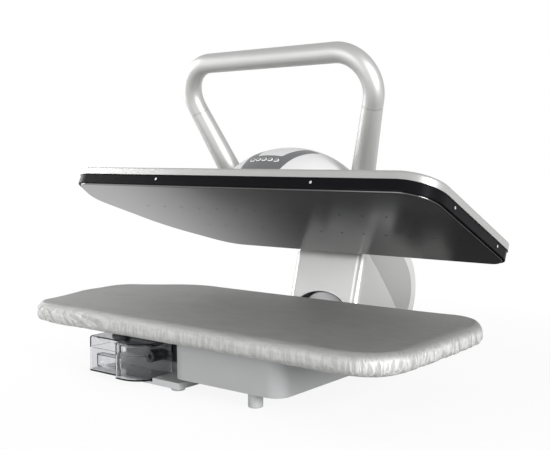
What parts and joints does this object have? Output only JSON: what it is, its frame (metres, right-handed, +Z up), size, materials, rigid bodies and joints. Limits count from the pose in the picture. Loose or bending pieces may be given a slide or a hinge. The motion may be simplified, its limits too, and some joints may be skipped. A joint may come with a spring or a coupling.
{
  "type": "steam ironing press",
  "caption": "Tabletop steam ironing press: padded board on a base box, hinged heated plate with a bow handle, push buttons and a pull-out water tank.",
  "frame": {"origin": "on the table under the middle of the open press's bounding box", "axes": "+X along the board to its blunt end, +Y from the user to the hinge, +Z up"},
  "size_m": [0.6794, 0.5404, 0.4866],
  "materials": {
    "cover_cloth": "silver-grey aluminised ironing cloth, slightly shiny",
    "foam": "open-cell foam and felt",
    "steel": "grey-coated sheet steel",
    "bright_steel": "bright zinc-plated steel",
    "grey_plastic": "fine-grained blue-grey plastic",
    "dark_plastic": "dark grey plastic",
    "silver_plastic": "satin silver paint on plastic",
    "silver_sheet": "satin silver painted sheet",
    "black_gloss": "glossy black heat-proof plastic",
    "sole_metal": "satin cast aluminium with a non-stick coat",
    "white_plastic": "pale grey-white plastic",
    "smoky_clear": "clear smoky plastic",
    "foot_rubber": "grey rubber",
    "circuit": "circuit board",
    "hose": "silicone hose",
    "button_face": "light grey soft-touch plastic"
  },
  "bodies": {
    "base": {"board_cover": "cover_cloth", "board_foam": "foam", "board_pan": "steel", "pan_screws": "bright_steel", "base_housing": "grey_plastic", "base_bottom": "grey_plastic", "base_screws": "bright_steel", "chassis": "steel", "hinge_bracket": "steel", "hinge_tower": "grey_plastic", "hinge_shaft": "bright_steel", "shaft_rings": "bright_steel", "lift_spring": "bright_steel", "front_feet": "foot_rubber", "rear_feet": "foot_rubber", "tank_tray": "grey_plastic", "tank_dock": "dark_plastic", "water_pump": "dark_plastic", "pump_hose": "hose", "power_board": "circuit", "cord_inlet": "dark_plastic"},
    "head": {"lever_left": "steel", "lever_right": "steel", "lever_tie": "bright_steel", "arm_front_cover": "silver_plastic", "arm_body_cover": "silver_plastic", "arm_back_cover": "white_plastic", "head_frame": "steel", "head_shell": "white_plastic", "control_panel": "dark_plastic", "control_board": "circuit", "plate_cover": "silver_sheet", "plate_frame": "black_gloss", "frame_screws": "bright_steel", "soleplate": "sole_metal", "heating_element": "bright_steel", "thermostat": "bright_steel", "handle_bow": "silver_plastic", "handle_leg_left": "silver_plastic", "handle_leg_right": "silver_plastic"},
    "tank": {"tank_body": "smoky_clear", "tank_lid": "smoky_clear", "tank_valve": "dark_plastic"},
    "tank_cap": {"tank_cap": "dark_plastic"},
    "button_1": {"button_1": "button_face"},
    "button_2": {"button_2": "button_face"},
    "button_3": {"button_3": "button_face"},
    "button_4": {"button_4": "button_face"},
    "button_5": {"button_5": "button_face"}
  },
  "joints": [
    {"name": "press_hinge", "type": "hinge", "parent": "base", "child": "head", "pos_m": [0.01325, 0.19979, 0.03], "axis": [1, 0, 0], "range_deg": [0, 24.17], "stiffness_Nm_per_rad": 24, "springref_deg": -57.3},
    {"name": "tank_slide", "type": "slide", "parent": "base", "child": "tank", "axis": [0, -1, 0], "range_m": [0, 0.09]},
    {"name": "cap_lift", "type": "slide", "parent": "tank", "child": "tank_cap", "axis": [0, 0, 1], "range_m": [0, 0.009]},
    {"name": "button_1_press", "type": "slide", "parent": "head", "child": "button_1", "axis": [0, 0.5348, -0.845], "range_m": [0, 0.001], "stiffness_N_per_m": 800, "springref_m": -0.001},
    {"name": "button_2_press", "type": "slide", "parent": "head", "child": "button_2", "axis": [0, 0.5348, -0.845], "range_m": [0, 0.001], "stiffness_N_per_m": 800, "springref_m": -0.001},
    {"name": "button_3_press", "type": "slide", "parent": "head", "child": "button_3", "axis": [0, 0.5348, -0.845], "range_m": [0, 0.001], "stiffness_N_per_m": 800, "springref_m": -0.001},
    {"name": "button_4_press", "type": "slide", "parent": "head", "child": "button_4", "axis": [0, 0.5348, -0.845], "range_m": [0, 0.001], "stiffness_N_per_m": 800, "springref_m": -0.001},
    {"name": "button_5_press", "type": "slide", "parent": "head", "child": "button_5", "axis": [0, 0.5348, -0.845], "range_m": [0, 0.001], "stiffness_N_per_m": 800, "springref_m": -0.001}
  ]
}
